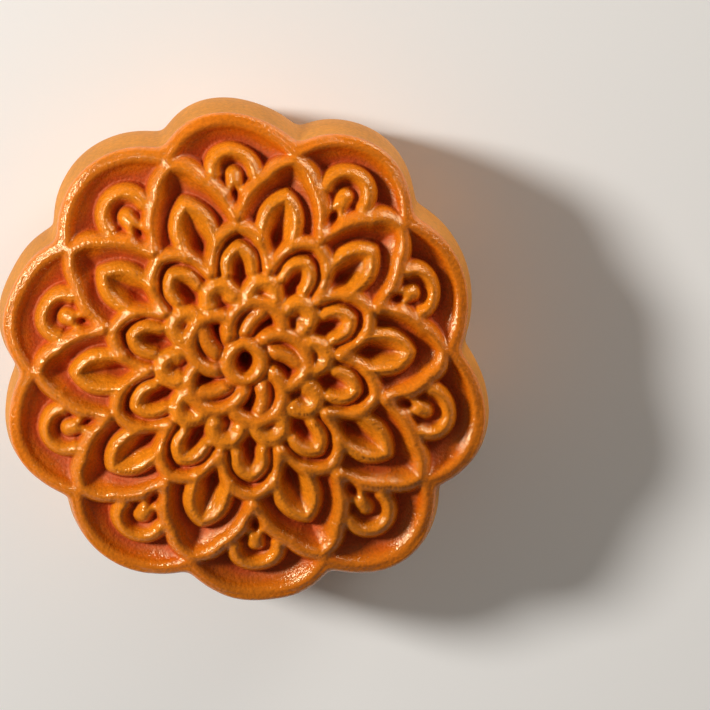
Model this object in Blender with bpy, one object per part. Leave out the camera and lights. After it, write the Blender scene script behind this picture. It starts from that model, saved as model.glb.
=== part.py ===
"""A whole baked mooncake, modelled in Blender as one closed solid.

The cake is a round pastry with ten lobes. Its top is pressed with a flower: ten
large pointed petals, ten small pointed petals, ten round scallops and a pinwheel
of five hooked petals round a ring, all drawn as rounded ropes of dough, some with
an apron that slopes down inside them, on a domed, recessed floor. The dough creeps a
little as it is turned out and baked, so nothing on it is quite regular. It lies flat,
pattern up.

Frame: metres, +Z up, origin at the centre of the flat underside. Lobe 0 points
along +Y and the lobes follow counter-clockwise.
"""

import math
from dataclasses import dataclass

import bmesh
import bpy
import numpy as np

MM = 0.001

# ---- the cake as a whole ------------------------------------------------------------
LOBES = 10
PITCH = 2 * math.pi / LOBES          # angle from one lobe to the next
LOBE_CENTRE = 27.1 * MM              # centre of a lobe's arc, from the middle of the cake
LOBE_RADIUS = 12.9 * MM              # 80 mm from lobe to opposite lobe, before the dough creeps
NOTCH_SOFTNESS = 0.9 * MM            # how far the notch between two lobes is rounded
RIM_HEIGHT = 26.0 * MM               # crest level at the rim
DOME_RISE = 7.0 * MM                 # how much higher the crests stand at the middle
DOME_RADIUS = 38.5 * MM
DOME_POWER = 2.6
RELIEF_DEPTH = 4.0 * MM              # from a crest down to the floor beside it

# ---- the side and the underside -----------------------------------------------------
LIP_RADIUS = 1.3 * MM                # rounding from the top into the side
WALL_BULGE = 1.6 * MM                # the side swells this much at half height
BASE_RADIUS = 5.0 * MM               # rounding from the side into the underside

# ---- the rim ------------------------------------------------------------------------
RIM_BEAD_INSET = 1.3 * MM            # crest of the rim, in from the outline
RIM_BEAD_WIDTH = 1.9 * MM            # width of its inner flank
RIM_BEAD_HEIGHT = 0.97
RIM_APRON_WIDTH = 5.2 * MM
RIM_APRON_HEIGHT = 0.86
RIM_LINE_INSET = 0.9 * MM            # a fine line runs between the lip and the bead
RIM_LINE_WIDTH = 0.22 * MM
RIM_LINE_DEPTH = 0.14 * MM
RIM_CORE_RADIUS = 34.3 * MM          # inside this circle the rim has no say
RIM_BLEND = 0.5 * MM

# ---- how ropes of dough meet --------------------------------------------------------
ROPE_ROUNDNESS = 0.55                # exponent of a rope's cross-section
APRON_ROUND = 1.0 * MM               # rounding where an apron starts, at the rope's crest
APRON_POWER = 1.7                    # how hollow an apron is
MERGE_POWER = 9.0                    # how sharply crossing ropes meet; less is softer
FLOOR_SHARE = 0.05                   # the floor's own share of the relief
COLLAR_FROM = 3.2 * MM               # the other ropes sink a little round the middle ring
COLLAR_TO = 5.0 * MM
COLLAR_SHARE = 0.72                  # share of their height that is left at the ring

# ---- unevenness of a hand-pressed, baked cake -----------------------------------------
SWELL = 0.16 * MM                    # rise and fall of the crests
SWELL_WAVE = 13.0 * MM
CREEP_REACH = 30.0 * MM
# Millimetres that x, y, x2, xy, y2, x3, x2y, xy2 and y3 add at the reach, where all are 1.
CREEP_ACROSS = (1.3, 0.4, -0.35, -1.1, 0.0, -0.6, -0.5, -0.5, -0.2)
CREEP_ALONG = (0.7, 1.6, -0.75, 0.9, -0.75, -0.9, -0.2, -1.1, -0.3)
NUDGE_FROM = 24.0 * MM
NUDGE_FULL = 35.0 * MM
# Stretches of the rim that stand out: middle and spread in degrees, millimetres outwards.
NUDGES = (
    (8.0, 12.0, -1.2),
    (48.0, 13.0, 1.6),
    (82.0, 11.0, -1.0),
    (104.0, 8.0, 0.5),
    (158.0, 10.0, -1.1),
    (188.0, 9.0, -0.7),
    (272.0, 8.0, -0.7),
)

# ---- mesh -------------------------------------------------------------------------
TOP_RINGS = 80                       # rings of the fine top before it is thinned
LIP_RINGS = 4
WALL_ROWS = 7
BASE_ROWS = 4
KEPT_SHARE = 0.19                    # share of the fine faces that the solid keeps
SHARP_ANGLE = math.radians(50)


@dataclass(frozen=True)
class Arc:
    """A circular arc from start to end that bulges to the left by rise (right if negative)."""

    start: tuple
    end: tuple
    rise: float


@dataclass(frozen=True)
class Rope:
    """A rope of dough along some arcs: its half-widths, its height and any apron inside it."""

    kind: str
    arcs: tuple
    outer: float
    inner: float
    height: float
    apron: float = 0.0
    apron_height: float = 0.6


@dataclass(frozen=True)
class Pit:
    """A dent pressed into the floor, longer along its turn than across it."""

    centre: tuple
    turn: float
    radius: float
    length: float
    depth: float


def on_axis(step, along, across):
    """Point along the axis of lobe number step, and across it (counter-clockwise)."""
    turn = math.pi / 2 + PITCH * step
    x = along * math.cos(turn) - across * math.sin(turn)
    y = along * math.sin(turn) + across * math.cos(turn)
    return x * MM, y * MM


def pointed_petal(step, foot, shoulder, tip, rises):
    """Two mirrored flanks, each from foot by shoulder to the tip, in millimetres."""
    arcs = []
    for side in (-1, 1):
        low = on_axis(step, foot[0], side * foot[1])
        middle = on_axis(step, shoulder[0], side * shoulder[1])
        top = on_axis(step, tip, 0)
        arcs.append(Arc(low, middle, side * rises[0] * MM))
        arcs.append(Arc(middle, top, side * rises[1] * MM))
    return tuple(arcs)


def round_arch(step, along, half_width, rise):
    """One arc that spans the axis and opens towards the middle of the cake."""
    return Arc(on_axis(step, along, -half_width), on_axis(step, along, half_width), -rise * MM)


def large_petals(step):
    """A large petal on a notch axis, with the smaller petal nested in it."""
    foot = (22.9 * math.cos(PITCH / 2), 22.9 * math.sin(PITCH / 2))
    flanks = pointed_petal(step, foot, (29.6, 3.9), 32.9, (0.75, 0.65))
    nested = pointed_petal(step, (18.8, 2.65), (22.2, 2.8), 26.5, (0.1, 0.75))
    return [
        Rope("large petal", flanks, 1.75 * MM, 1.9 * MM, 1.0, 4.4 * MM, 0.92),
        Rope("nested petal", nested, 1.5 * MM, 1.8 * MM, 0.9, 4.8 * MM, 0.89),
    ]


def small_petals(step):
    """A small petal on a lobe axis, with the smaller petal nested in it."""
    flanks = pointed_petal(step, (14.4, 4.6), (17.0, 4.35), 21.2, (0.02, 0.85))
    nested = pointed_petal(step, (14.0, 2.1), (15.6, 2.15), 18.1, (0.05, 0.5))
    return [
        Rope("small petal", flanks, 1.75 * MM, 1.65 * MM, 1.0, 3.2 * MM, 0.76),
        Rope("nested petal", nested, 1.45 * MM, 2.0 * MM, 0.94, 6.5 * MM, 0.93),
    ]


def lobe_arches(step):
    """The arch in a lobe and the knob under it, with its two legs."""
    arch = round_arch(step, 29.6, 3.55, 4.1)
    head = Arc(on_axis(step, 28.7, 0), on_axis(step, 29.6, 0), 0.01 * MM)
    legs = tuple(
        Arc(on_axis(step, 28.6, side * 0.3), on_axis(step, 26.2, side * 1.6), side * 0.2 * MM)
        for side in (-1, 1)
    )
    return [
        Rope("arch", (arch,), 1.6 * MM, 1.7 * MM, 0.92, 3.6 * MM, 0.84),
        Rope("knob", (head,), 1.95 * MM, 1.95 * MM, 0.87),
        Rope("knob", legs, 1.3 * MM, 1.3 * MM, 0.8),
    ]


def scallop(step):
    """A round scallop on a notch axis and the short web that ties it to the small petals."""
    web = Arc(on_axis(step, 15.0, 0), on_axis(step, 13.2, 0), 0.01 * MM)
    arch = round_arch(step, 10.0, 2.3, 3.1)
    return [
        Rope("scallop", (arch,), 1.75 * MM, 2.6 * MM, 0.99, 8.0 * MM, 0.94),
        Rope("web", (web,), 1.4 * MM, 1.4 * MM, 0.84),
    ]


def pinwheel():
    """Five hooked petals, each with an inner rope, that turn round the middle ring."""
    ropes = []
    count = 5
    first_head = math.radians(76)
    hook_centre, hook_radius = (5.3, -0.68), 4.28
    hook_from, hook_to = math.radians(127), math.radians(-72)
    for number in range(count):
        head = first_head - 2 * math.pi / count * number

        def at(x, y, head=head):
            return (
                (x * math.cos(head) - y * math.sin(head)) * MM,
                (x * math.sin(head) + y * math.cos(head)) * MM,
            )

        ends = [
            at(hook_centre[0] + hook_radius * math.cos(a), hook_centre[1] + hook_radius * math.sin(a))
            for a in (hook_from, hook_to)
        ]
        rise = hook_radius * (1 - math.cos((hook_from - hook_to) / 2)) * MM
        inner = Arc(at(3.3, 0.82), at(7.93, -1.1), 0.6 * MM)
        ropes.append(Rope("hook", (Arc(ends[0], ends[1], rise),), 1.7 * MM, 1.85 * MM, 1.05))
        ropes.append(Rope("hook", (inner,), 1.85 * MM, 1.85 * MM, 0.98))
    return ropes


def middle_ring():
    """The ring round the hole in the middle."""
    radius = 2.7 * MM
    halves = (
        Arc((-radius, 0.0), (radius, 0.0), radius),
        Arc((radius, 0.0), (-radius, 0.0), radius),
    )
    return [Rope("ring", halves, 1.6 * MM, 1.95 * MM, 1.03)]


def all_ropes():
    """Every rope of the pressed flower."""
    ropes = []
    for lobe in range(LOBES):
        ropes += large_petals(lobe + 0.5)
        ropes += small_petals(lobe)
        ropes += lobe_arches(lobe)
        ropes += scallop(lobe + 0.5)
    return ropes + pinwheel() + middle_ring()


def all_pits():
    """The deepest places between the ropes, and the hole in the middle."""
    pits = [Pit((0.0, 0.0), math.pi / 2, 0.62 * MM, 1.1 * MM, 3.0 * MM)]
    for lobe in range(LOBES):
        turn = math.pi / 2 + PITCH * lobe
        between = turn + PITCH / 2
        pits.append(Pit(on_axis(lobe + 0.5, 19.2, 0), between, 0.9 * MM, 1.6 * MM, 1.5 * MM))
        pits.append(Pit(on_axis(lobe, 13.9, 0), turn, 0.8 * MM, 1.2 * MM, 2.0 * MM))
        pits.append(Pit(on_axis(lobe, 25.6, 0), turn, 0.8 * MM, 1.0 * MM, 1.2 * MM))
    return pits


def smooth_step(low, high, value):
    """0 below low, 1 above high, and a smooth rise between them."""
    share = np.clip((value - low) / (high - low), 0, 1)
    return share * share * (3 - 2 * share)


def soft_max(values, softness):
    """The largest of several arrays, with the corners between them rounded."""
    top = np.max(values, axis=0)
    return top + softness * np.log(np.sum(np.exp((values - top) / softness), axis=0))


def outline_radius(angle):
    """Radius of the lobed outline at an angle from +X."""
    from_lobe = (angle - math.pi / 2 + PITCH / 2) % PITCH - PITCH / 2
    radii = []
    for neighbour in (-1, 0, 1):
        offset = from_lobe + neighbour * PITCH
        square = LOBE_RADIUS**2 - (LOBE_CENTRE * np.sin(offset)) ** 2
        hit = LOBE_CENTRE * np.cos(offset) + np.sqrt(np.maximum(square, 0))
        radii.append(np.where(square > 0, hit, 0))
    return soft_max(np.array(radii), NOTCH_SOFTNESS)


def inset(x, y):
    """How far a point lies inside the outline."""
    depths = [RIM_CORE_RADIUS - np.hypot(x, y)]
    for lobe in range(LOBES):
        turn = math.pi / 2 + PITCH * lobe
        reach = np.hypot(x - LOBE_CENTRE * math.cos(turn), y - LOBE_CENTRE * math.sin(turn))
        depths.append(LOBE_RADIUS - reach)
    return soft_max(np.array(depths), RIM_BLEND)


def arc_distance(x, y, arc):
    """Distance to an arc, and its side: 1 on the bulging side down to -1 on the other."""
    (x0, y0), (x1, y1) = arc.start, arc.end
    chord = math.hypot(x1 - x0, y1 - y0)
    rise, side = abs(arc.rise), math.copysign(1, arc.rise)
    radius = (chord**2 / 4 + rise**2) / (2 * rise)
    left = (-(y1 - y0) / chord * side, (x1 - x0) / chord * side)
    centre = (
        (x0 + x1) / 2 + left[0] * (rise - radius),
        (y0 + y1) / 2 + left[1] * (rise - radius),
    )
    dx, dy = x - centre[0], y - centre[1]
    turn = np.arctan2(left[0] * dy - left[1] * dx, left[0] * dx + left[1] * dy)
    beside = np.abs(turn) <= math.atan2(chord / 2, radius - rise)
    outward = np.hypot(dx, dy) - radius
    to_end = np.minimum(np.hypot(x - x0, y - y0), np.hypot(x - x1, y - y1))
    lean = np.clip(outward / np.maximum(to_end, 1e-9), -1, 1)
    return np.where(beside, np.abs(outward), to_end), np.where(beside, np.sign(outward), lean)


def rope_distance(x, y, rope):
    """Distance to the nearest of a rope's arcs, and the side of that arc."""
    nearest = np.full(x.shape, np.inf)
    side = np.full(x.shape, -1.0)
    for arc in rope.arcs:
        distance, arc_side = arc_distance(x, y, arc)
        same = np.abs(distance - nearest) < 1e-12
        closer = (distance < nearest) & ~same | same & (arc_side > side)
        nearest = np.where(closer, distance, nearest)
        side = np.where(closer, arc_side, side)
    return nearest, side


def near(x, y, rope):
    """Which points a rope can reach."""
    ends = [point for arc in rope.arcs for point in (arc.start, arc.end)]
    margin = max(abs(arc.rise) for arc in rope.arcs) + max(rope.outer, rope.inner, rope.apron + APRON_ROUND)
    xs, ys = zip(*ends)
    in_x = (x > min(xs) - margin) & (x < max(xs) + margin)
    return in_x & (y > min(ys) - margin) & (y < max(ys) + margin)


def rope_section(share):
    """Height of a rope's round cross-section at a share of its half-width."""
    return np.clip(1 - share**2, 0, 1) ** ROPE_ROUNDNESS


def apron_section(distance, width):
    """Height of an apron, round at the crest and hollow below, at a distance from the crest."""
    fall = np.sqrt(distance**2 + APRON_ROUND**2) - APRON_ROUND
    return np.clip(1 - fall / width, 0, 1) ** APRON_POWER


def collar(x, y):
    """Share of their height that the other ropes keep round the middle ring."""
    kept = smooth_step(COLLAR_FROM, COLLAR_TO, np.hypot(x, y))
    return COLLAR_SHARE + (1 - COLLAR_SHARE) * kept


def crest_level(x, y):
    """The domed level that the crests of the ropes reach."""
    share = np.clip(np.hypot(x, y) / DOME_RADIUS, 0, 1)
    swell = SWELL * np.sin(x / SWELL_WAVE * 1.7 + 0.6) * np.cos(y / SWELL_WAVE * 1.4 - 0.9)
    return RIM_HEIGHT + DOME_RISE * (1 - share**DOME_POWER) + swell * (1 - share**4)


def pit_dent(x, y, pit):
    """How deep a pit dents the dough at points."""
    dx, dy = x - pit.centre[0], y - pit.centre[1]
    along = (dx * math.cos(pit.turn) + dy * math.sin(pit.turn)) / pit.length
    across = (dy * math.cos(pit.turn) - dx * math.sin(pit.turn)) / pit.radius
    return pit.depth * np.exp(-(along**2 + across**2) / 2)


def relief_height(x, y):
    """Height of the pressed top above the underside, before the lip is rounded."""
    depth = inset(x, y)
    total = np.full(x.shape, FLOOR_SHARE**MERGE_POWER)
    open_rim = np.ones_like(x)
    for rope in all_ropes():
        reach = near(x, y, rope)
        distance, side = rope_distance(x[reach], y[reach], rope)
        outer, inner = rope_section(distance / rope.outer), rope_section(distance / rope.inner)
        rise = rope.height * (inner + (outer - inner) * (side + 1) / 2)
        if rope.kind != "ring":
            rise = rise * collar(x[reach], y[reach])
        total[reach] += rise**MERGE_POWER
        if rope.apron:
            apron = rope.apron_height * apron_section(distance, rope.apron) * (1 - side) / 2
            total[reach] += apron**MERGE_POWER
        if rope.kind == "large petal":
            closed = np.where(side < 0, smooth_step(0.1 * MM, 1.1 * MM, distance), 0)
            open_rim[reach] = np.minimum(open_rim[reach], 1 - closed)
    flank = np.maximum(depth - RIM_BEAD_INSET, 0)
    bead = RIM_BEAD_HEIGHT * rope_section(flank / RIM_BEAD_WIDTH)
    apron = RIM_APRON_HEIGHT * apron_section(flank, RIM_APRON_WIDTH)
    total += (bead * open_rim) ** MERGE_POWER + (apron * open_rim) ** MERGE_POWER
    share = total ** (1 / MERGE_POWER)
    dent = sum(pit_dent(x, y, pit) for pit in all_pits())
    line = RIM_LINE_DEPTH * np.exp(-(((depth - RIM_LINE_INSET) / RIM_LINE_WIDTH) ** 2))
    return crest_level(x, y) - RELIEF_DEPTH * (1 - share) - dent - line


def add_flat_disc(mesh):
    """A flat six-sided disc of TOP_RINGS rings of triangles."""
    bmesh.ops.create_circle(mesh, cap_ends=True, cap_tris=True, segments=6, radius=1.0)
    bmesh.ops.subdivide_edges(mesh, edges=mesh.edges[:], cuts=TOP_RINGS - 1, use_grid_fill=True)


def press_top(mesh):
    """Move the flat disc's points to the lobed outline and the pressed relief."""
    flat = np.array([vertex.co[:] for vertex in mesh.verts])
    corner = math.pi / 6
    angle = np.arctan2(flat[:, 1], flat[:, 0]) - corner
    sector = math.pi / 3
    to_side = (angle % sector) - sector / 2
    hexagon = np.hypot(flat[:, 0], flat[:, 1]) * np.cos(to_side) / math.cos(sector / 2)
    along_side = 0.5 + np.tan(to_side) / (2 * math.tan(sector / 2))
    angle = (np.floor(angle / sector) + along_side) * sector + corner
    ring = np.rint(hexagon * TOP_RINGS)
    inner_rings = TOP_RINGS - LIP_RINGS
    turn = np.clip((ring - inner_rings) / LIP_RINGS, 0, 1) * math.pi / 2
    edge = outline_radius(angle)
    radius = np.where(
        ring <= inner_rings,
        ring / inner_rings * (edge - LIP_RADIUS),
        edge - LIP_RADIUS * (1 - np.sin(turn)),
    )
    x, y = radius * np.cos(angle), radius * np.sin(angle)
    z = relief_height(x, y) - LIP_RADIUS * (1 - np.cos(turn))
    for vertex, place in zip(mesh.verts, np.column_stack([x, y, z])):
        vertex.co = place


def set_loop(loop, offset, height_of):
    """Put a loop of points at an offset from the outline and at a height worked from theirs."""
    for vertex in {vertex for edge in loop for vertex in edge.verts}:
        angle = math.atan2(vertex.co.y, vertex.co.x)
        reach = float(outline_radius(np.array([angle]))[0]) + offset
        height = height_of(vertex.co.z)
        vertex.co = (reach * math.cos(angle), reach * math.sin(angle), height)


def extrude_loop(mesh, loop):
    """Extrude a loop of edges in place and return the new loop."""
    grown = bmesh.ops.extrude_edge_only(mesh, edges=loop)["geom"]
    return [item for item in grown if isinstance(item, bmesh.types.BMEdge)]


def pull_down_side(mesh):
    """Extrude the rim of the pressed top down the side, as far as the base's rounding."""
    loop = [edge for edge in mesh.edges if edge.is_boundary]
    for row in range(1, WALL_ROWS + 1):
        loop = extrude_loop(mesh, loop)
        left = WALL_ROWS - row
        bulge = WALL_BULGE * math.sin(math.pi * row / WALL_ROWS)
        set_loop(loop, bulge, lambda z, left=left: BASE_RADIUS + (z - BASE_RADIUS) * left / (left + 1))


def close_base(mesh):
    """Round the side into the underside and close it with one flat face."""
    loop = [edge for edge in mesh.edges if edge.is_boundary]
    set_loop(loop, 0.0, lambda z: BASE_RADIUS)
    for row in range(1, BASE_ROWS + 1):
        turn = math.pi / 2 * row / BASE_ROWS
        loop = extrude_loop(mesh, loop)
        height = BASE_RADIUS * (1 - math.sin(turn))
        set_loop(loop, -BASE_RADIUS * (1 - math.cos(turn)), lambda z, height=height: height)
    bmesh.ops.edgeloop_fill(mesh, edges=loop)


def nudged(x, y):
    """Points moved in or out where the rim stands off the true outline."""
    reach, turn = np.hypot(x, y) + 1e-9, np.degrees(np.arctan2(y, x))
    outward = np.zeros_like(x)
    for middle, spread, size in NUDGES:
        aside = (turn - middle + 180) % 360 - 180
        outward += size * np.exp(-((aside / spread) ** 2))
    stretch = 1 + outward * MM * smooth_step(NUDGE_FROM, NUDGE_FULL, reach) / reach
    return x * stretch, y * stretch


def let_creep(mesh):
    """Let the finished dough creep sideways, and centre it on the origin."""
    places = np.array([vertex.co[:] for vertex in mesh.verts])
    x, y = nudged(places[:, 0], places[:, 1])
    u, v = x / CREEP_REACH, y / CREEP_REACH
    terms = (u, v, u * u, u * v, v * v, u**3, u * u * v, u * v * v, v**3)
    x = x + sum(share * term for share, term in zip(CREEP_ACROSS, terms)) * MM
    y = y + sum(share * term for share, term in zip(CREEP_ALONG, terms)) * MM
    x, y = x - (x.min() + x.max()) / 2, y - (y.min() + y.max()) / 2
    for vertex, place in zip(mesh.verts, np.column_stack([x, y, places[:, 2]])):
        vertex.co = place


def crust_material():
    """Egg-washed, baked crust."""
    material = bpy.data.materials.new("crust")
    material.use_nodes = True
    shader = material.node_tree.nodes["Principled BSDF"]
    shader.inputs["Base Color"].default_value = (0.62, 0.235, 0.04, 1.0)
    shader.inputs["Roughness"].default_value = 0.38
    shader.inputs["Metallic"].default_value = 0.0
    return material


def thin_out(mesh):
    """Leave fewer faces where the surface is plain."""
    data = bpy.data.meshes.new("fine crust")
    mesh.to_mesh(data)
    fine = bpy.data.objects.new("fine crust", data)
    bpy.context.collection.objects.link(fine)
    thin = fine.modifiers.new("thin", "DECIMATE")
    thin.ratio = KEPT_SHARE
    kept = bpy.data.meshes.new_from_object(fine.evaluated_get(bpy.context.evaluated_depsgraph_get()))
    bpy.data.objects.remove(fine, do_unlink=True)
    mesh.clear()
    mesh.from_mesh(kept)


def make_mooncake():
    """Model the cake and put it in the scene."""
    mesh = bmesh.new()
    add_flat_disc(mesh)
    press_top(mesh)
    pull_down_side(mesh)
    thin_out(mesh)
    close_base(mesh)
    let_creep(mesh)
    bmesh.ops.recalc_face_normals(mesh, faces=mesh.faces[:])
    bmesh.ops.triangulate(mesh, faces=mesh.faces[:])
    data = bpy.data.meshes.new("mooncake")
    mesh.to_mesh(data)
    mesh.free()
    data.shade_smooth()
    data.set_sharp_from_angle(angle=SHARP_ANGLE)
    data.materials.append(crust_material())
    bpy.context.collection.objects.link(bpy.data.objects.new("mooncake", data))


def main():
    """Clear the scene and model the mooncake."""
    for item in list(bpy.data.objects):
        bpy.data.objects.remove(item, do_unlink=True)
    make_mooncake()


main()
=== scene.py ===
"""A whole baked mooncake, egg-washed and golden, on a pale studio table.

The cake is one piece: a ten-lobed pastry whose top is pressed with a flower of
ropes. It is cut as a flat blank, raised at the side, closed underneath and then
pressed by the same mould as the solid frame, with the finish laid on last.
"""
import logging
import math
from dataclasses import dataclass, field
from enum import Enum

import bpy
import numpy as np
from mathutils import Matrix, Vector, noise


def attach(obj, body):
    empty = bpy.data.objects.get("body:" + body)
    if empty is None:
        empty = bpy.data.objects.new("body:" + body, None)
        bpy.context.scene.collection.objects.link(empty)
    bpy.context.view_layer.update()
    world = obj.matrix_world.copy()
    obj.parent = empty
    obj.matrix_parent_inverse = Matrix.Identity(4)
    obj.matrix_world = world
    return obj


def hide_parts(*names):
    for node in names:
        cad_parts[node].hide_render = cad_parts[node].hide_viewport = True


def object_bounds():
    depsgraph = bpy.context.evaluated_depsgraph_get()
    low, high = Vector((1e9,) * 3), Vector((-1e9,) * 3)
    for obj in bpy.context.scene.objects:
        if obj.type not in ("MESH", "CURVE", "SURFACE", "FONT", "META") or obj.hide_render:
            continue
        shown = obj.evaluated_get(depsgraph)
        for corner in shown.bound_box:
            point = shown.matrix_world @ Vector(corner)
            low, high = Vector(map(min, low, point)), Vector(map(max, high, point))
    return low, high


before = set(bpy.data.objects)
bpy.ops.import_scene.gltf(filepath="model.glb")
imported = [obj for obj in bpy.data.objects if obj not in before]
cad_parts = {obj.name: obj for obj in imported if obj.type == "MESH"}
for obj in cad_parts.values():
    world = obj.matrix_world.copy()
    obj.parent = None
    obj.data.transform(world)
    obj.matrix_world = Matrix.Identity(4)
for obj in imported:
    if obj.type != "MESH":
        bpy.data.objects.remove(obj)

CAD_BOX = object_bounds()
MM = 0.001
UP = math.pi / 2                      # lobe 0 points along +Y

log = logging.getLogger("mooncake")

Point = tuple[float, float]
Colour = tuple[float, float, float]


class RopeKind(Enum):
    """The parts of the pressed flower that are drawn as ropes."""

    LARGE_PETAL = "large petal"
    NESTED_PETAL = "nested petal"
    SMALL_PETAL = "small petal"
    ARCH = "arch"
    KNOB = "knob"
    SCALLOP = "scallop"
    WEB = "web"
    HOOK = "hook"
    RING = "ring"


@dataclass(frozen=True)
class Arc:
    """A circular arc from start to end that bulges to the left by rise (right if negative)."""

    start: Point
    end: Point
    rise: float

    def distance(self, x: np.ndarray, y: np.ndarray) -> tuple[np.ndarray, np.ndarray]:
        """Measure how far points lie from the arc, and on which side.

        Args:
            x: Points along X.
            y: Points along Y.

        Returns:
            The distances, and the side: 1 where the arc bulges, down to -1 opposite.
        """
        (x0, y0), (x1, y1) = self.start, self.end
        chord = math.hypot(x1 - x0, y1 - y0)
        rise, side = abs(self.rise), math.copysign(1, self.rise)
        radius = (chord**2 / 4 + rise**2) / (2 * rise)
        left = (-(y1 - y0) / chord * side, (x1 - x0) / chord * side)
        centre = (
            (x0 + x1) / 2 + left[0] * (rise - radius),
            (y0 + y1) / 2 + left[1] * (rise - radius),
        )
        dx, dy = x - centre[0], y - centre[1]
        turn = np.arctan2(left[0] * dy - left[1] * dx, left[0] * dx + left[1] * dy)
        beside = np.abs(turn) <= math.atan2(chord / 2, radius - rise)
        outward = np.hypot(dx, dy) - radius
        to_end = np.minimum(np.hypot(x - x0, y - y0), np.hypot(x - x1, y - y1))
        lean = np.clip(outward / np.maximum(to_end, 1e-9), -1, 1)
        return np.where(beside, np.abs(outward), to_end), np.where(beside, np.sign(outward), lean)


@dataclass(frozen=True)
class Rope:
    """A rope of dough along some arcs: its half-widths, its height and any apron inside it."""

    kind: RopeKind
    arcs: tuple[Arc, ...]
    outer: float
    inner: float
    height: float
    apron: float = 0.0
    apron_height: float = 0.6

    def reach(self, x: np.ndarray, y: np.ndarray) -> np.ndarray:
        """Tell which points lie close enough to touch the rope."""
        ends = [point for arc in self.arcs for point in (arc.start, arc.end)]
        margin = max(abs(arc.rise) for arc in self.arcs) + max(self.outer, self.inner, self.apron + 1.0 * MM)
        xs, ys = zip(*ends)
        in_x = (x > min(xs) - margin) & (x < max(xs) + margin)
        return in_x & (y > min(ys) - margin) & (y < max(ys) + margin)

    def distance(self, x: np.ndarray, y: np.ndarray) -> tuple[np.ndarray, np.ndarray]:
        """Measure the distance to the nearest arc and the side of that arc.

        Args:
            x: Points along X.
            y: Points along Y.

        Returns:
            The distances and the sides, as an arc gives them.
        """
        nearest = np.full(x.shape, np.inf)
        side = np.full(x.shape, -1.0)
        for arc in self.arcs:
            distance, arc_side = arc.distance(x, y)
            same = np.abs(distance - nearest) < 1e-12
            closer = (distance < nearest) & ~same | same & (arc_side > side)
            nearest = np.where(closer, distance, nearest)
            side = np.where(closer, arc_side, side)
        return nearest, side


@dataclass(frozen=True)
class Pit:
    """A dent pressed into the floor, longer along its turn than across it."""

    centre: Point
    turn: float
    radius: float
    length: float
    depth: float

    def dent(self, x: np.ndarray, y: np.ndarray) -> np.ndarray:
        """Give how deep the dent is at points."""
        dx, dy = x - self.centre[0], y - self.centre[1]
        along = (dx * math.cos(self.turn) + dy * math.sin(self.turn)) / self.length
        across = (dy * math.cos(self.turn) - dx * math.sin(self.turn)) / self.radius
        return self.depth * np.exp(-(along**2 + across**2) / 2)


def smooth_step(low: float, high: float, value: np.ndarray) -> np.ndarray:
    """Give 0 below low, 1 above high, and a smooth rise between them."""
    share = np.clip((value - low) / (high - low), 0, 1)
    return share * share * (3 - 2 * share)


def soft_max(values: list[np.ndarray], softness: float) -> np.ndarray:
    """Give the largest of several arrays, with the corners between them rounded."""
    stack = np.array(values)
    top = np.max(stack, axis=0)
    return top + softness * np.log(np.sum(np.exp((stack - top) / softness), axis=0))


@dataclass(frozen=True)
class Outline:
    """The ten-lobed outline of the cake."""

    lobes: int = 10
    lobe_centre: float = 27.1 * MM
    lobe_radius: float = 12.9 * MM
    notch_softness: float = 0.9 * MM
    core_radius: float = 34.3 * MM
    rim_blend: float = 0.5 * MM

    @property
    def pitch(self) -> float:
        """Angle from one lobe to the next."""
        return 2 * math.pi / self.lobes

    def radius(self, angle: np.ndarray) -> np.ndarray:
        """Give the outline's radius at angles from +X."""
        from_lobe = (angle - UP + self.pitch / 2) % self.pitch - self.pitch / 2
        radii = []
        for neighbour in (-1, 0, 1):
            offset = from_lobe + neighbour * self.pitch
            square = self.lobe_radius**2 - (self.lobe_centre * np.sin(offset)) ** 2
            hit = self.lobe_centre * np.cos(offset) + np.sqrt(np.maximum(square, 0))
            radii.append(np.where(square > 0, hit, 0))
        return soft_max(radii, self.notch_softness)

    def inset(self, x: np.ndarray, y: np.ndarray) -> np.ndarray:
        """Tell how far points lie inside the outline."""
        depths = [self.core_radius - np.hypot(x, y)]
        for lobe in range(self.lobes):
            turn = UP + self.pitch * lobe
            across = x - self.lobe_centre * math.cos(turn)
            along = y - self.lobe_centre * math.sin(turn)
            depths.append(self.lobe_radius - np.hypot(across, along))
        return soft_max(depths, self.rim_blend)


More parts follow.
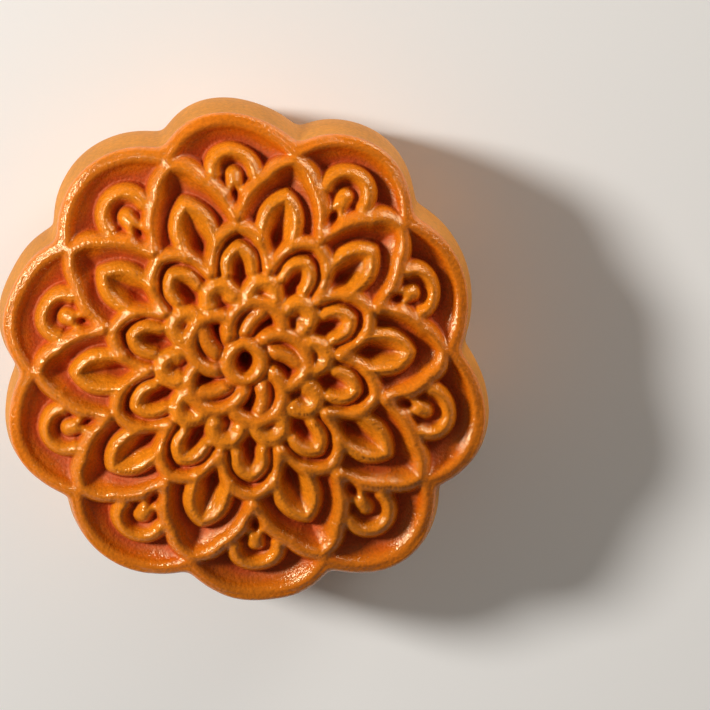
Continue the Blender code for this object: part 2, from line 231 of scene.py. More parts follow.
@dataclass(frozen=True)
class Mould:
    """The carved mould: every rope and pit of the flower, in millimetres on a lobe's axis."""

    outline: Outline = Outline()

    def on_axis(self, step: float, along: float, across: float) -> Point:
        """Give the point along the axis of lobe number step, and across it."""
        turn = UP + self.outline.pitch * step
        x = along * math.cos(turn) - across * math.sin(turn)
        y = along * math.sin(turn) + across * math.cos(turn)
        return x * MM, y * MM

    def pointed_petal(
        self, step: float, foot: Point, shoulder: Point, tip: float, rises: Point
    ) -> tuple[Arc, ...]:
        """Draw two mirrored flanks, each from foot by shoulder to the tip.

        Args:
            step: Lobe number of the petal's axis; halves are notches.
            foot: Lower end, along and across the axis.
            shoulder: Widest place, along and across the axis.
            tip: Where the flanks meet, along the axis.
            rises: How far the lower and the upper arc bulge.

        Returns:
            The four arcs.
        """
        arcs = []
        for side in (-1, 1):
            low = self.on_axis(step, foot[0], side * foot[1])
            middle = self.on_axis(step, shoulder[0], side * shoulder[1])
            top = self.on_axis(step, tip, 0)
            arcs.append(Arc(low, middle, side * rises[0] * MM))
            arcs.append(Arc(middle, top, side * rises[1] * MM))
        return tuple(arcs)

    def round_arch(self, step: float, along: float, half_width: float, rise: float) -> Arc:
        """Draw one arc that spans the axis and opens towards the middle of the cake."""
        start = self.on_axis(step, along, -half_width)
        return Arc(start, self.on_axis(step, along, half_width), -rise * MM)

    def large_petals(self, step: float) -> list[Rope]:
        """Draw a large petal on a notch axis, with the smaller petal nested in it."""
        half = self.outline.pitch / 2
        foot = (22.9 * math.cos(half), 22.9 * math.sin(half))
        flanks = self.pointed_petal(step, foot, (29.6, 3.9), 32.9, (0.75, 0.65))
        nested = self.pointed_petal(step, (18.8, 2.65), (22.2, 2.8), 26.5, (0.1, 0.75))
        return [
            Rope(RopeKind.LARGE_PETAL, flanks, 1.75 * MM, 1.9 * MM, 1.0, 4.4 * MM, 0.92),
            Rope(RopeKind.NESTED_PETAL, nested, 1.5 * MM, 1.8 * MM, 0.9, 4.8 * MM, 0.89),
        ]

    def small_petals(self, step: float) -> list[Rope]:
        """Draw a small petal on a lobe axis, with the smaller petal nested in it."""
        flanks = self.pointed_petal(step, (14.4, 4.6), (17.0, 4.35), 21.2, (0.02, 0.85))
        nested = self.pointed_petal(step, (14.0, 2.1), (15.6, 2.15), 18.1, (0.05, 0.5))
        return [
            Rope(RopeKind.SMALL_PETAL, flanks, 1.75 * MM, 1.65 * MM, 1.0, 3.2 * MM, 0.76),
            Rope(RopeKind.NESTED_PETAL, nested, 1.45 * MM, 2.0 * MM, 0.94, 6.5 * MM, 0.93),
        ]

    def lobe_arches(self, step: float) -> list[Rope]:
        """Draw the arch in a lobe and the knob under it."""
        arch = (self.round_arch(step, 29.6, 3.55, 4.1),)
        head = Arc(self.on_axis(step, 28.7, 0), self.on_axis(step, 29.6, 0), 0.01 * MM)
        legs = tuple(
            Arc(self.on_axis(step, 28.6, side * 0.3), self.on_axis(step, 26.2, side * 1.6), side * 0.2 * MM)
            for side in (-1, 1)
        )
        return [
            Rope(RopeKind.ARCH, arch, 1.6 * MM, 1.7 * MM, 0.92, 3.6 * MM, 0.84),
            Rope(RopeKind.KNOB, (head,), 1.95 * MM, 1.95 * MM, 0.87),
            Rope(RopeKind.KNOB, legs, 1.3 * MM, 1.3 * MM, 0.8),
        ]

    def scallop(self, step: float) -> list[Rope]:
        """Draw a round scallop on a notch axis and the web that ties it to the petals."""
        web = Arc(self.on_axis(step, 15.0, 0), self.on_axis(step, 13.2, 0), 0.01 * MM)
        arch = self.round_arch(step, 10.0, 2.3, 3.1)
        return [
            Rope(RopeKind.SCALLOP, (arch,), 1.75 * MM, 2.6 * MM, 0.99, 8.0 * MM, 0.94),
            Rope(RopeKind.WEB, (web,), 1.4 * MM, 1.4 * MM, 0.84),
        ]

    def pinwheel(self) -> list[Rope]:
        """Draw five hooked petals, each with an inner rope, that turn round the ring."""
        ropes = []
        count = 5
        first_head = math.radians(76)
        hook_centre, hook_radius = (5.3, -0.68), 4.28
        hook_from, hook_to = math.radians(127), math.radians(-72)
        for number in range(count):
            head = first_head - 2 * math.pi / count * number

            def at(x: float, y: float, head: float = head) -> Point:
                """Turn a point from the petal's own axes to the cake's."""
                return (
                    (x * math.cos(head) - y * math.sin(head)) * MM,
                    (x * math.sin(head) + y * math.cos(head)) * MM,
                )

            ends = [
                at(
                    hook_centre[0] + hook_radius * math.cos(turn),
                    hook_centre[1] + hook_radius * math.sin(turn),
                )
                for turn in (hook_from, hook_to)
            ]
            rise = hook_radius * (1 - math.cos((hook_from - hook_to) / 2)) * MM
            hook = (Arc(ends[0], ends[1], rise),)
            inner = (Arc(at(3.3, 0.82), at(7.93, -1.1), 0.6 * MM),)
            ropes.append(Rope(RopeKind.HOOK, hook, 1.7 * MM, 1.85 * MM, 1.05))
            ropes.append(Rope(RopeKind.HOOK, inner, 1.85 * MM, 1.85 * MM, 0.98))
        return ropes

    def ring(self) -> list[Rope]:
        """Draw the ring round the hole in the middle."""
        radius = 2.7 * MM
        halves = (
            Arc((-radius, 0.0), (radius, 0.0), radius),
            Arc((radius, 0.0), (-radius, 0.0), radius),
        )
        return [Rope(RopeKind.RING, halves, 1.6 * MM, 1.95 * MM, 1.03)]

    def ropes(self) -> list[Rope]:
        """List every rope of the flower."""
        ropes = []
        for lobe in range(self.outline.lobes):
            ropes += self.large_petals(lobe + 0.5)
            ropes += self.small_petals(lobe)
            ropes += self.lobe_arches(lobe)
            ropes += self.scallop(lobe + 0.5)
        return ropes + self.pinwheel() + self.ring()

    def pits(self) -> list[Pit]:
        """List the deepest places between the ropes, and the hole in the middle."""
        pits = [Pit((0.0, 0.0), UP, 0.62 * MM, 1.1 * MM, 3.0 * MM)]
        for lobe in range(self.outline.lobes):
            lobe_turn = UP + self.outline.pitch * lobe
            notch_turn = lobe_turn + self.outline.pitch / 2
            pits.append(Pit(self.on_axis(lobe + 0.5, 19.2, 0), notch_turn, 0.9 * MM, 1.6 * MM, 1.5 * MM))
            pits.append(Pit(self.on_axis(lobe, 13.9, 0), lobe_turn, 0.8 * MM, 1.2 * MM, 2.0 * MM))
            pits.append(Pit(self.on_axis(lobe, 25.6, 0), lobe_turn, 0.8 * MM, 1.0 * MM, 1.2 * MM))
        return pits


@dataclass(frozen=True)
class Nudge:
    """A stretch of the rim that stands out from the true outline, or in if negative."""

    turn: float
    spread: float
    outward: float


@dataclass(frozen=True)
class Creep:
    """How far the dough creeps sideways as it is pressed, turned out and baked.

    Each tuple holds the creep in millimetres that x, y, x2, xy, y2, x3, x2y, xy2 and y3
    add at reach, where all of them are 1.
    """

    across: tuple[float, ...] = (1.3, 0.4, -0.35, -1.1, 0.0, -0.6, -0.5, -0.5, -0.2)
    along: tuple[float, ...] = (0.7, 1.6, -0.75, 0.9, -0.75, -0.9, -0.2, -1.1, -0.3)
    reach: float = 30.0 * MM
    nudge_from: float = 24.0 * MM
    nudge_full: float = 35.0 * MM
    nudges: tuple[Nudge, ...] = (
        Nudge(8.0, 12.0, -1.2),
        Nudge(48.0, 13.0, 1.6),
        Nudge(82.0, 11.0, -1.0),
        Nudge(104.0, 8.0, 0.5),
        Nudge(158.0, 10.0, -1.1),
        Nudge(188.0, 9.0, -0.7),
        Nudge(272.0, 8.0, -0.7),
    )

    def move(self, x: np.ndarray, y: np.ndarray) -> tuple[np.ndarray, np.ndarray]:
        """Give the places that points of the mould end up at."""
        reach, turn = np.hypot(x, y) + 1e-9, np.degrees(np.arctan2(y, x))
        outward = np.zeros_like(x)
        for nudge in self.nudges:
            aside = (turn - nudge.turn + 180) % 360 - 180
            outward += nudge.outward * np.exp(-((aside / nudge.spread) ** 2))
        stretch = 1 + outward * MM * smooth_step(self.nudge_from, self.nudge_full, reach) / reach
        x, y = x * stretch, y * stretch
        u, v = x / self.reach, y / self.reach
        terms = (u, v, u * u, u * v, v * v, u**3, u * u * v, u * v * v, v**3)
        across = sum(share * term for share, term in zip(self.across, terms))
        along = sum(share * term for share, term in zip(self.along, terms))
        return x + across * MM, y + along * MM


@dataclass(frozen=True)
class Press:
    """How the mould meets the dough: levels, depths and the rim."""

    mould: Mould = Mould()
    rim_height: float = 26.0 * MM
    dome_rise: float = 7.0 * MM
    dome_radius: float = 38.5 * MM
    dome_power: float = 2.6
    depth: float = 4.0 * MM
    bead_inset: float = 1.3 * MM
    bead_width: float = 1.9 * MM
    bead_height: float = 0.97
    bead_slope: float = 5.2 * MM
    bead_apron: float = 0.86
    line_inset: float = 0.9 * MM
    line_width: float = 0.22 * MM
    line_depth: float = 0.14 * MM
    rim_browning: float = 1.0
    roundness: float = 0.55
    collar_radii: Point = (3.2 * MM, 5.0 * MM)
    collar_share: float = 0.72
    crest_round: float = 1.0 * MM
    scoop_power: float = 1.7
    merge_power: float = 9.0
    floor_share: float = 0.05
    swell: float = 0.16 * MM
    swell_wave: float = 13.0 * MM

    def browning(self, kind: RopeKind) -> float:
        """Give how much more a rope browns than the palest ones, as the heat reaches it."""
        return {
            RopeKind.LARGE_PETAL: 0.7,
            RopeKind.SMALL_PETAL: 0.45,
            RopeKind.HOOK: 0.5,
            RopeKind.RING: 0.35,
            RopeKind.ARCH: 0.15,
        }.get(kind, 0.0)

    def section(self, share: np.ndarray) -> np.ndarray:
        """Give the height of a rope's round outer flank at a share of its width."""
        return np.clip(1 - share**2, 0, 1) ** self.roundness

    def scoop(self, distance: np.ndarray, width: float) -> np.ndarray:
        """Give the height of a scooped inner flank, round at the crest and hollow below."""
        fall = np.sqrt(distance**2 + self.crest_round**2) - self.crest_round
        return np.clip(1 - fall / width, 0, 1) ** self.scoop_power

    def collar(self, x: np.ndarray, y: np.ndarray) -> np.ndarray:
        """Give how much of the other ropes is left round the middle ring."""
        low, high = self.collar_radii
        return self.collar_share + (1 - self.collar_share) * smooth_step(low, high, np.hypot(x, y))

    def crest_level(self, x: np.ndarray, y: np.ndarray) -> np.ndarray:
        """Give the domed level that the crests of the ropes reach."""
        share = np.clip(np.hypot(x, y) / self.dome_radius, 0, 1)
        wave = self.swell_wave
        swell = self.swell * np.sin(x / wave * 1.7 + 0.6) * np.cos(y / wave * 1.4 - 0.9)
        return self.rim_height + self.dome_rise * (1 - share**self.dome_power) + swell * (1 - share**4)

    def press(self, x: np.ndarray, y: np.ndarray) -> tuple[np.ndarray, np.ndarray]:
        """Press the pattern into the dough.

        Args:
            x: Points along X.
            y: Points along Y.

        Returns:
            Their height above the underside, and how much they brown, from 0 to 1.
        """
        level = self.crest_level(x, y)
        inset = self.mould.outline.inset(x, y)
        total = np.full(x.shape, self.floor_share**self.merge_power)
        brown = total * self.rim_browning
        open_rim = np.ones_like(x)
        for rope in self.mould.ropes():
            reach = rope.reach(x, y)
            distance, side = rope.distance(x[reach], y[reach])
            outer, inner = self.section(distance / rope.outer), self.section(distance / rope.inner)
            rise = rope.height * (inner + (outer - inner) * (side + 1) / 2)
            if rope.kind is not RopeKind.RING:
                rise = rise * self.collar(x[reach], y[reach])
            added = rise ** self.merge_power
            if rope.apron:
                apron = rope.apron_height * self.scoop(distance, rope.apron) * (1 - side) / 2
                added += apron ** self.merge_power
            total[reach] += added
            brown[reach] += added * self.browning(rope.kind)
            if rope.kind is RopeKind.LARGE_PETAL:
                closed = np.where(side < 0, smooth_step(0.1 * MM, 1.1 * MM, distance), 0)
                open_rim[reach] = np.minimum(open_rim[reach], 1 - closed)
        flank = np.maximum(inset - self.bead_inset, 0)
        bead = self.bead_height * self.section(flank / self.bead_width)
        apron = self.bead_apron * self.scoop(flank, self.bead_slope)
        added = (bead * open_rim) ** self.merge_power + (apron * open_rim) ** self.merge_power
        total += added
        brown = (brown + added * self.rim_browning) / total
        share = total ** (1 / self.merge_power)
        dent = np.zeros_like(x)
        for pit in self.mould.pits():
            dent += pit.dent(x, y)
        line = self.line_depth * np.exp(-(((inset - self.line_inset) / self.line_width) ** 2))
        return level - self.depth * (1 - share) - dent - line, brown


@dataclass(frozen=True)
class Side:
    """The side wall and the underside."""

    lip_radius: float = 1.3 * MM
    bulge: float = 1.6 * MM
    base_radius: float = 5.0 * MM
    lump: float = 0.12 * MM
    lump_wave: float = 9.0 * MM


class Mask(Enum):
    """What is stored at each point of the crust for its finish."""

    BROWN = "browning"
    # how far a point lies below its surroundings; the finish paints shade in the hollows and down the slopes by it
    HOLLOW = "hollow"
    BARE = "bare_side"
    UNDER = "underside"


@dataclass
class Crust:
    """The cake's crust, from the flat blank to the pressed and closed shell."""

    press: Press = Press()
    side: Side = Side()
    creep: Creep = Creep()
    coarse_cuts: int = 82
    fine_cuts: int = 1
    lip_rings: int = 7
    wall_rows: int = 9
    base_rows: int = 4
    name: str = "mooncake_crust"
    piece: bpy.types.Object | None = field(default=None, init=False)

    @property
    def rings(self) -> int:
        """Number of rings of triangles in the top."""
        return (self.coarse_cuts + 1) * (self.fine_cuts + 1)

    def build(self) -> bpy.types.Object:
        """Model the crust and return it."""
        self.cut_blank()
        self.raise_side()
        self.form()
        self.close_underside()
        return self.piece

    def cut_blank(self) -> None:
        """Add a flat six-sided disc and divide it into rings of triangles."""
        bpy.ops.object.select_all(action="DESELECT")
        bpy.ops.mesh.primitive_circle_add(vertices=6, radius=1.0, fill_type="TRIFAN")
        self.piece = bpy.context.active_object
        self.piece.name = self.name
        self.piece.data.name = self.name
        bpy.ops.object.mode_set(mode="EDIT")
        bpy.ops.mesh.select_all(action="SELECT")
        for cuts in (self.coarse_cuts, self.fine_cuts):
            bpy.ops.mesh.subdivide(number_cuts=cuts)

    def raise_side(self) -> None:
        """Extrude the blank's edge row by row; each row is one unit lower."""
        bpy.ops.mesh.select_all(action="DESELECT")
        bpy.ops.mesh.select_mode(type="EDGE")
        bpy.ops.mesh.select_non_manifold()
        for _ in range(self.wall_rows + self.base_rows):
            bpy.ops.mesh.extrude_edges_move(TRANSFORM_OT_translate={"value": (0, 0, -1)})
        bpy.ops.object.mode_set(mode="OBJECT")

    def close_underside(self) -> None:
        """Fill the open edge underneath and turn every face outwards."""
        bpy.ops.object.mode_set(mode="EDIT")
        bpy.ops.mesh.select_all(action="DESELECT")
        bpy.ops.mesh.select_mode(type="EDGE")
        bpy.ops.mesh.select_non_manifold()
        bpy.ops.mesh.edge_face_add()
        bpy.ops.mesh.select_all(action="SELECT")
        bpy.ops.mesh.quads_convert_to_tris(quad_method="SHORTEST_DIAGONAL", ngon_method="BEAUTY")
        bpy.ops.mesh.normals_make_consistent(inside=False)
        bpy.ops.object.mode_set(mode="OBJECT")
        bpy.ops.object.shade_smooth()

    def polar(self, flat: np.ndarray) -> tuple[np.ndarray, np.ndarray, np.ndarray]:
        """Read the blank's points as rings, angles and rows.

        Args:
            flat: The blank's points, one row each.

        Returns:
            The ring (0 in the middle), the angle from +X, and the row down the side.
        """
        corner, sector = math.pi / 6, math.pi / 3
        angle = np.arctan2(flat[:, 1], flat[:, 0]) - corner
        to_side = (angle % sector) - sector / 2
        hexagon = np.hypot(flat[:, 0], flat[:, 1]) * np.cos(to_side) / math.cos(sector / 2)
        along_side = 0.5 + np.tan(to_side) / (2 * math.tan(sector / 2))
        angle = (np.floor(angle / sector) + along_side) * sector + corner
        return np.rint(hexagon * self.rings), angle, np.rint(-flat[:, 2])

    def form(self) -> None:
        """Move the blank's points to the lobed outline, the pressed top and the side."""
        data = self.piece.data
        flat = np.zeros(len(data.vertices) * 3)
        data.vertices.foreach_get("co", flat)
        ring, angle, row = self.polar(flat.reshape(-1, 3))
        side = self.side
        inner_rings = self.rings - self.lip_rings
        turn = np.clip((ring - inner_rings) / self.lip_rings, 0, 1) * UP
        edge = self.press.mould.outline.radius(angle)
        radius = np.where(
            ring <= inner_rings,
            ring / inner_rings * (edge - side.lip_radius),
            edge - side.lip_radius * (1 - np.sin(turn)),
        )
        x, y = radius * np.cos(angle), radius * np.sin(angle)
        height, brown = self.press.press(x, y)
        z = height - side.lip_radius * (1 - np.cos(turn))
        down = np.clip(row / self.wall_rows, 0, 1)
        under = np.clip((row - self.wall_rows) / self.base_rows, 0, 1) * UP
        z = np.where(row > 0, z + (side.base_radius - z) * down, z)
        z = np.where(row > self.wall_rows, side.base_radius * (1 - np.sin(under)), z)
        radius = radius + side.bulge * np.sin(math.pi * down) * (row > 0)
        radius = radius - side.base_radius * (1 - np.cos(under))
        x, y = radius * np.cos(angle), radius * np.sin(angle)
        x, y, z = self.knead(x, y, z, down, row)
        x, y = self.creep.move(x, y)
        x, y = x - (x.min() + x.max()) / 2, y - (y.min() + y.max()) / 2
        data.vertices.foreach_set("co", np.column_stack([x, y, z]).ravel())
        lip = turn / UP
        self.store(Mask.BROWN, brown * (1 - 0.25 * smooth_step(0.1, 0.6, lip)))
        self.store(Mask.BARE, np.where(row > 0, 1.0, smooth_step(0.94, 1.0, lip)))
        self.store(Mask.UNDER, under / UP)
        self.store(Mask.HOLLOW, self.hollow(z, row))
        data.update()

    def knead(
        self, x: np.ndarray, y: np.ndarray, z: np.ndarray, down: np.ndarray, row: np.ndarray
    ) -> tuple[np.ndarray, np.ndarray, np.ndarray]:
        """Make the dough a little uneven, as hands and the oven leave it.

        Args:
            x: Points along X.
            y: Points along Y.
            z: Heights.
            down: Share of the way down the side, 0 on the top.
            row: Row down the side, 0 on the top.

        Returns:
            The moved points.
        """
        lumps = np.array([
            noise.noise(Vector(place) / self.side.lump_wave) for place in zip(x, y, z)
        ])
        inwards = np.where(row > 0, np.sin(math.pi * down), 0) * self.side.lump
        reach = np.hypot(x, y) + 1e-9
        push = inwards * (lumps - 1)
        x, y = x * (1 + push / reach), y * (1 + push / reach)
        return x, y, z

    def hollow(self, z: np.ndarray, row: np.ndarray) -> np.ndarray:
        """Measure how far each point lies below its surroundings, in half-widths of a rope.

        Args:
            z: Heights.
            row: Row down the side, 0 on the top.

        Returns:
            Above 0 in a hollow, below 0 on a crest, and 0 down the side.
        """
        data = self.piece.data
        pairs = np.zeros(len(data.edges) * 2, dtype=np.int64)
        data.edges.foreach_get("vertices", pairs)
        first, second = pairs.reshape(-1, 2).T
        count = np.bincount(first, minlength=len(z)) + np.bincount(second, minlength=len(z))
        level = z.copy()
        for _ in range(60):
            total = np.bincount(first, weights=level[second], minlength=len(z))
            total += np.bincount(second, weights=level[first], minlength=len(z))
            level = np.where(row > 0, level, total / count)
        return np.where(row > 0, 0.0, (level - z) / MM)

    def store(self, mask: Mask, values: np.ndarray) -> None:
        """Keep a value at each point for the finish to read."""
        attribute = self.piece.data.attributes.new(mask.value, "FLOAT", "POINT")
        attribute.data.foreach_set("value", values.astype(np.float32))


class NodeBench:
    """A node tree and the few moves needed to wire it."""

    def __init__(self, tree: bpy.types.NodeTree) -> None:
        """Take the tree to work on."""
        self.tree = tree

    def add(self, kind: str, inputs: dict | None = None, **settings: object) -> bpy.types.Node:
        """Add a node.

        Args:
            kind: The node's type name.
            inputs: Values or output sockets for its input sockets, by name or number.
            settings: Properties to set on the node.

        Returns:
            The node.
        """
        node = self.tree.nodes.new(kind)
        for key, value in settings.items():
            setattr(node, key, value)
        for key, value in (inputs or {}).items():
            socket = node.inputs[key]
            if isinstance(value, bpy.types.NodeSocket):
                self.tree.links.new(value, socket)
            else:
                socket.default_value = value
        return node

    def maths(self, operation: str, *values: object, clamp: bool = False) -> bpy.types.NodeSocket:
        """Add a Math node on the given values and return its output."""
        inputs = dict(enumerate(values))
        node = self.add("ShaderNodeMath", inputs, operation=operation, use_clamp=clamp)
        return node.outputs[0]

    def span(
        self, value: object, low: float, high: float, to_low: float = 0.0, to_high: float = 1.0
    ) -> bpy.types.NodeSocket:
        """Map a range smoothly to another range, clamped, and return the output."""
        inputs = {0: value, 1: low, 2: high, 3: to_low, 4: to_high}
        node = self.add("ShaderNodeMapRange", inputs, interpolation_type="SMOOTHSTEP")
        return node.outputs[0]

    def blend(self, share: object, first: object, second: object, mode: str = "MIX") -> bpy.types.NodeSocket:
        """Mix two colours by a share and return the output."""
        node = self.add("ShaderNodeMix", data_type="RGBA", blend_type=mode)
        for socket, value in zip((node.inputs[0], node.inputs[6], node.inputs[7]), (share, first, second)):
            if isinstance(value, bpy.types.NodeSocket):
                self.tree.links.new(value, socket)
            elif isinstance(value, tuple):
                socket.default_value = (*value, 1.0)
            else:
                socket.default_value = value
        return node.outputs[2]


def new_group(name: str, inputs: dict[str, float], outputs: list[str]) -> tuple[bpy.types.NodeTree, NodeBench]:
    """Make a shader node group with float inputs and outputs.

    Args:
        name: The group's name.
        inputs: Each input's name and its default.
        outputs: The outputs' names.

    Returns:
        The group and a bench on it.
    """
    group = bpy.data.node_groups.new(name, "ShaderNodeTree")
    group.interface.new_socket("Place", in_out="INPUT", socket_type="NodeSocketVector")
    for socket_name, value in inputs.items():
        socket = group.interface.new_socket(socket_name, in_out="INPUT", socket_type="NodeSocketFloat")
        socket.default_value = value
    for socket_name in outputs:
        group.interface.new_socket(socket_name, in_out="OUTPUT", socket_type="NodeSocketFloat")
    return group, NodeBench(group)


def mottle_group() -> bpy.types.NodeTree:
    """Make soft uneven patches at two sizes, about 0.5 on average."""
    group, bench = new_group("Mottle", {"Patch": 120.0, "Fleck": 900.0, "Fleck Share": 0.35}, ["Mask"])
    given = bench.add("NodeGroupInput")
    sizes = {}
    for size in ("Patch", "Fleck"):
        inputs = {"Vector": given.outputs["Place"], "Scale": given.outputs[size], "Detail": 3.0}
        sizes[size] = bench.add("ShaderNodeTexNoise", inputs).outputs["Fac"]
    share = given.outputs["Fleck Share"]
    mixed = bench.add(
        "ShaderNodeMix", {0: share, 2: sizes["Patch"], 3: sizes["Fleck"]}, data_type="FLOAT"
    )
    result = bench.span(mixed.outputs[0], 0.3, 0.7)
    bench.add("NodeGroupOutput", {"Mask": result})
    return group


def grain_group() -> bpy.types.NodeTree:
    """Make the fine grain of a baked surface: its height, and how it lightens and darkens."""
    group, bench = new_group("Grain", {"Grain Scale": 1700.0, "Fine Scale": 5200.0}, ["Height", "Shade"])
    given = bench.add("NodeGroupInput")
    place = given.outputs["Place"]
    noises = [
        bench.add(
            "ShaderNodeTexNoise",
            {"Vector": place, "Scale": given.outputs[scale], "Detail": detail, "Roughness": 0.6},
        ).outputs["Fac"]
        for scale, detail in (("Grain Scale", 2.0), ("Fine Scale", 1.0))
    ]
    fine = bench.maths("MULTIPLY", noises[1], 0.35)
    bench.add(
        "NodeGroupOutput",
        {"Height": bench.maths("ADD", noises[0], fine), "Shade": bench.span(noises[0], 0.3, 0.7, 0.86, 1.1)},
    )
    return group


@dataclass(frozen=True)
class CrustFinish:
    """Egg-washed, baked crust: golden ropes, redder tops with painted shade down their slopes, painted shade in
    the hollows and a tan side.
    """

    golden: Colour = (0.75, 0.213, 0.007)
    browned: Colour = (0.58, 0.100, 0.003)
    # painted shade: the darker, redder colour laid into hollows and creases
    hollow_shade: Colour = (0.49, 0.056, 0.001)
    tan: Colour = (0.55, 0.193, 0.010)
    under: Colour = (0.42, 0.19, 0.06)
    specular: float = 0.66
    gleam: Colour = (1.0, 0.92, 0.6)
    glazed_roughness: float = 0.15
    bare_roughness: float = 0.65

    def material(self) -> bpy.types.Material:
        """Make the crust's material."""
        material = bpy.data.materials.new("egg_washed_crust")
        material.use_nodes = True
        bench = NodeBench(material.node_tree)
        shader = material.node_tree.nodes["Principled BSDF"]
        place = bench.add("ShaderNodeTexCoord").outputs["Object"]
        masks = {
            mask: bench.add("ShaderNodeAttribute", attribute_name=mask.value).outputs["Fac"]
            for mask in Mask
        }
        patches = self.effect(bench, mottle_group(), place).outputs["Mask"]
        grain = self.effect(bench, grain_group(), place)

        uneven = bench.span(patches, 0.1, 0.9, 0.65, 1.0)
        # painted light and shade: each rope's real browning is halved on crests and kept full on slopes and in
        # hollows, so crests read as lit and slopes as shaded
        flank = bench.span(masks[Mask.HOLLOW], -0.7, 0.3, 0.5, 1.0)
        brown = bench.maths("MULTIPLY", masks[Mask.BROWN], bench.maths("MULTIPLY", uneven, flank))
        colour = bench.blend(brown, self.golden, self.browned)
        # painted shade: the deeper a point lies below its surroundings, the more it takes the dark, red hollow
        # colour
        hollow_shade_share = bench.span(masks[Mask.HOLLOW], 0.0, 1.2)
        colour = bench.blend(hollow_shade_share, colour, self.hollow_shade)
        colour = bench.blend(masks[Mask.BARE], colour, self.tan)
        colour = bench.blend(masks[Mask.UNDER], colour, self.under)
        shade = bench.maths("MULTIPLY", bench.span(patches, 0.0, 1.0, 0.9, 1.07), grain.outputs["Shade"])
        tone = bench.add("ShaderNodeCombineColor", {0: shade, 1: shade, 2: shade}).outputs[0]
        colour = bench.blend(1.0, colour, tone, "MULTIPLY")
        bench.tree.links.new(colour, shader.inputs["Base Color"])

        dull = bench.maths("MAXIMUM", masks[Mask.BARE], hollow_shade_share)
        rough = bench.span(dull, 0.0, 1.0, self.glazed_roughness, self.bare_roughness)
        bench.tree.links.new(rough, shader.inputs["Roughness"])
        shader.inputs["Specular IOR Level"].default_value = self.specular
        shader.inputs["Specular Tint"].default_value = (*self.gleam, 1.0)
        relief = bench.maths("MULTIPLY", grain.outputs["Height"], bench.span(masks[Mask.BARE], 0.0, 1.0, 1.0, 0.3))
        bump = bench.add("ShaderNodeBump", {"Height": relief, "Strength": 1.0, "Distance": 0.14 * MM})
        bench.tree.links.new(bump.outputs[0], shader.inputs["Normal"])
        return material

    @staticmethod
    def effect(bench: NodeBench, group: bpy.types.NodeTree, place: bpy.types.NodeSocket) -> bpy.types.Node:
        """Place an effect's group in a material, on the piece's own coordinates."""
        node = bench.add("ShaderNodeGroup", node_tree=group)
        bench.tree.links.new(place, node.inputs["Place"])
        return node


@dataclass
class Mooncake:
    """The whole cake: its crust and the crust's finish."""

    crust: Crust = field(default_factory=Crust)
    finish: CrustFinish = CrustFinish()
    body: str = "root"
    cad_node: str = "mooncake"
    slot: str = "crust"

    def build(self) -> bpy.types.Object:
        piece = self.crust.build()
        piece.data.materials.clear()
        piece.data.materials.append(self.finish.material())
        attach(piece, self.body)
        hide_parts(self.cad_node)
        return piece


@dataclass(frozen=True)
class SoftBox:
    """A soft light, placed round the cake by direction."""

    name: str
    azimuth: float
    elevation: float
    distance: float
    size: float
    power: float
    colour: Colour = (1.0, 1.0, 1.0)

    def place(self, target: Vector) -> bpy.types.Object:
        """Hang the light round the target, facing it."""
        azimuth, elevation = math.radians(self.azimuth), math.radians(self.elevation)
        direction = Vector((
            math.cos(azimuth) * math.cos(elevation),
            math.sin(azimuth) * math.cos(elevation),
            math.sin(elevation),
        ))
        data = bpy.data.lights.new(self.name, "AREA")
        data.shape = "DISK"
        data.size = self.size
        data.energy = self.power
        data.color = self.colour
        light = bpy.data.objects.new(self.name, data)
        light.location = target + direction * self.distance
        light.rotation_mode = "QUATERNION"
        light.rotation_quaternion = direction.to_track_quat("Z", "Y")
        bpy.context.scene.collection.objects.link(light)
        return light


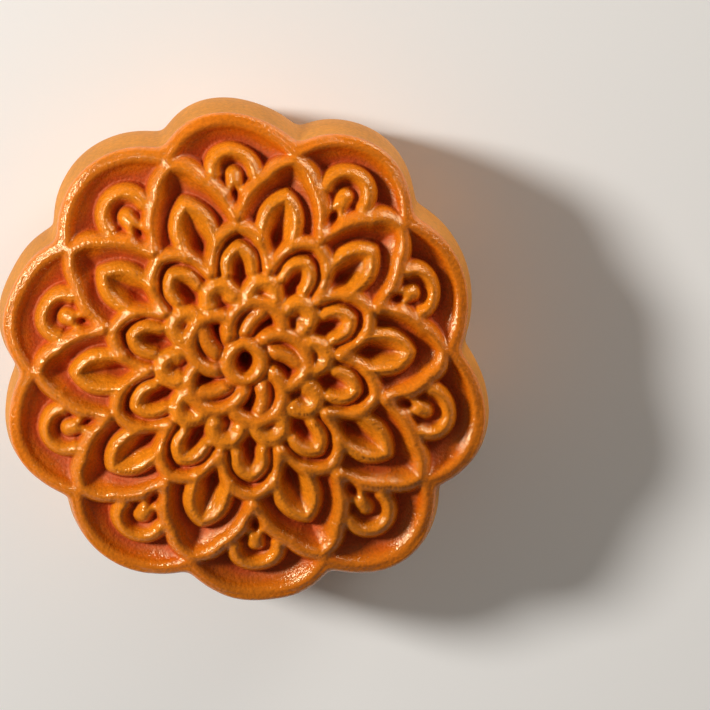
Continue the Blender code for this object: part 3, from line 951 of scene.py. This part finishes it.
@dataclass
class Studio:
    """The table, the lights, the surroundings and the camera."""

    camera_place: tuple[float, float, float] = (5.3, 80.2, 427.0)
    camera_aim: tuple[float, float, float] = (18.2, 0.02, 25.5)
    camera_up: tuple[float, float, float] = (0.064, 0.986, -0.156)
    lens: float = 126.8
    sensor: float = 36.0
    floor_size: float = 3.0
    world_strength: float = 0.15
    lights: tuple[SoftBox, ...] = (
        SoftBox("key", 157.0, 33.0, 0.9, 0.18, 9.1, (1.0, 0.97, 0.92)),
        SoftBox("fill", 48.0, 4.0, 1.0, 0.5, 9.0, (1.0, 0.93, 0.84)),
    )

    def build(self) -> None:
        """Set up the table, the lights, the surroundings and the camera."""
        self.lay_table()
        self.light_room()
        self.set_camera()

    def lay_table(self) -> None:
        """Lay a plain pale table top under the cake."""
        bpy.ops.object.select_all(action="DESELECT")
        bpy.ops.mesh.primitive_plane_add(size=self.floor_size)
        table = bpy.context.active_object
        table.name = "table"
        material = bpy.data.materials.new("pale_table")
        material.use_nodes = True
        shader = material.node_tree.nodes["Principled BSDF"]
        shader.inputs["Base Color"].default_value = (0.9, 0.9, 0.9, 1.0)
        shader.inputs["Roughness"].default_value = 0.7
        table.data.materials.append(material)

    def light_room(self) -> None:
        """Hang the lights and set the pale surroundings."""
        low, high = CAD_BOX
        for light in self.lights:
            light.place((low + high) / 2)
        world = bpy.data.worlds.new("studio")
        world.use_nodes = True
        background = world.node_tree.nodes["Background"]
        background.inputs["Color"].default_value = (1.0, 0.92, 0.82, 1.0)
        background.inputs["Strength"].default_value = self.world_strength
        bpy.context.scene.world = world
        bpy.context.scene.view_settings.view_transform = "Standard"

    def set_camera(self) -> None:
        """Stand the camera over the cake, turned as the cake is seen."""
        place, aim = Vector(self.camera_place) * MM, Vector(self.camera_aim) * MM
        forward = (aim - place).normalized()
        right = forward.cross(Vector(self.camera_up)).normalized()
        stand = Matrix((right, right.cross(forward), -forward)).transposed().to_4x4()
        stand.translation = place
        data = bpy.data.cameras.new("camera")
        data.lens = self.lens
        data.sensor_width = self.sensor
        data.clip_start = 0.01
        camera = bpy.data.objects.new("camera", data)
        bpy.context.scene.collection.objects.link(camera)
        camera.matrix_world = stand
        bpy.context.scene.camera = camera


def main() -> None:
    """Build the cake and the studio, and report each piece."""
    logging.basicConfig(level=logging.INFO, format="%(name)s: %(message)s")
    piece = Mooncake().build()
    log.info("%s has %d faces", piece.name, len(piece.data.polygons))
    Studio().build()
    log.info("studio is set")


if __name__ == "__main__":
    main()
